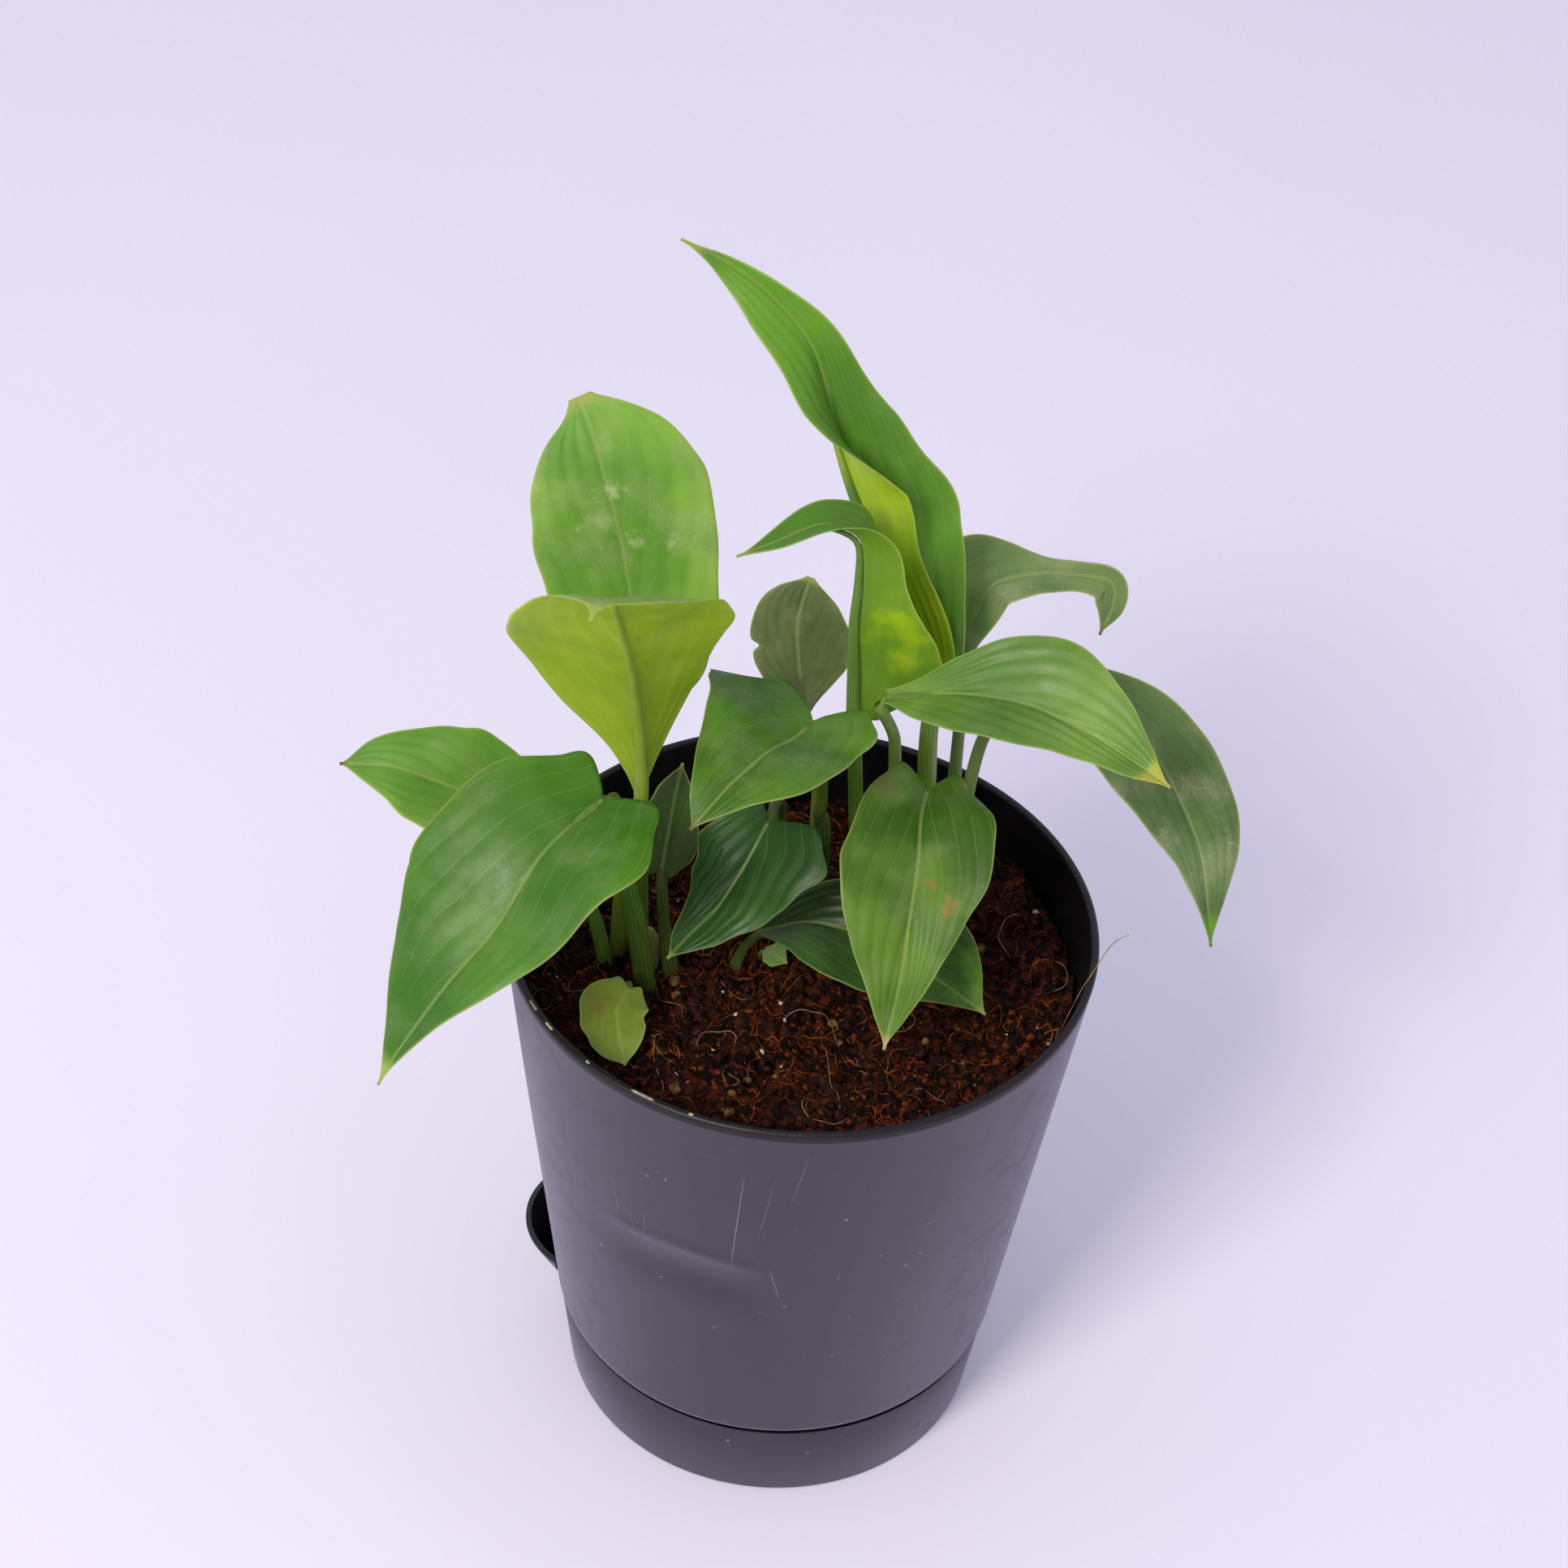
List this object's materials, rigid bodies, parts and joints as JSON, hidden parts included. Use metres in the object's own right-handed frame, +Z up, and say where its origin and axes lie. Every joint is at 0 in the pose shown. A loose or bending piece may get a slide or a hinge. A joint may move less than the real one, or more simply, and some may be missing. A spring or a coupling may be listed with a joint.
{
  "type": "potted peace lily",
  "caption": "Young peace lily with broad pointed leaves on slender stalks, rooted in coir soil in a round tapered self-watering pot with a reservoir tray and side filling spout.",
  "frame": {"origin": "centre of the flat underside of the reservoir tray, on the axis of the round pot", "axes": "+Z up along the axis of the pot, +X to the right seen from the front of the plant, +Y towards its back; the filling spout is at -X"},
  "size_m": [0.1921, 0.13, 0.2684],
  "materials": {
    "pot_plastic": "matte, lightly scuffed",
    "tray_plastic": "matte",
    "basket_plastic": "matte",
    "potting_soil": "loose coir and compost, matt; fabric stands in for soil",
    "crown": "smooth living stem; leather stands in for plant tissue",
    "mature_leaf": "satin leaf; leather stands in for plant tissue",
    "young_leaf": "satin young leaf; leather stands in for plant tissue",
    "shaded_leaf": "satin dark leaf; leather stands in for plant tissue"
  },
  "bodies": {
    "root": {"planter": "pot_plastic", "reservoir_tray": "tray_plastic", "wick_basket": "basket_plastic", "soil": "potting_soil", "crown_left": "crown", "crown_centre": "crown", "crown_right": "crown", "leaf_tall": "mature_leaf", "leaf_round": "mature_leaf", "leaf_backlit": "young_leaf", "leaf_broad_left": "mature_leaf", "leaf_left_back": "mature_leaf", "leaf_shaded_left": "shaded_leaf", "leaf_small_front": "young_leaf", "leaf_heart": "mature_leaf", "leaf_round_back": "shaded_leaf", "leaf_glossy": "shaded_leaf", "leaf_low": "shaded_leaf", "leaf_rolled": "young_leaf", "leaf_right": "mature_leaf", "leaf_back_right": "mature_leaf", "leaf_drooping": "mature_leaf", "leaf_front": "mature_leaf", "seedling": "young_leaf"}
  },
  "joints": []
}
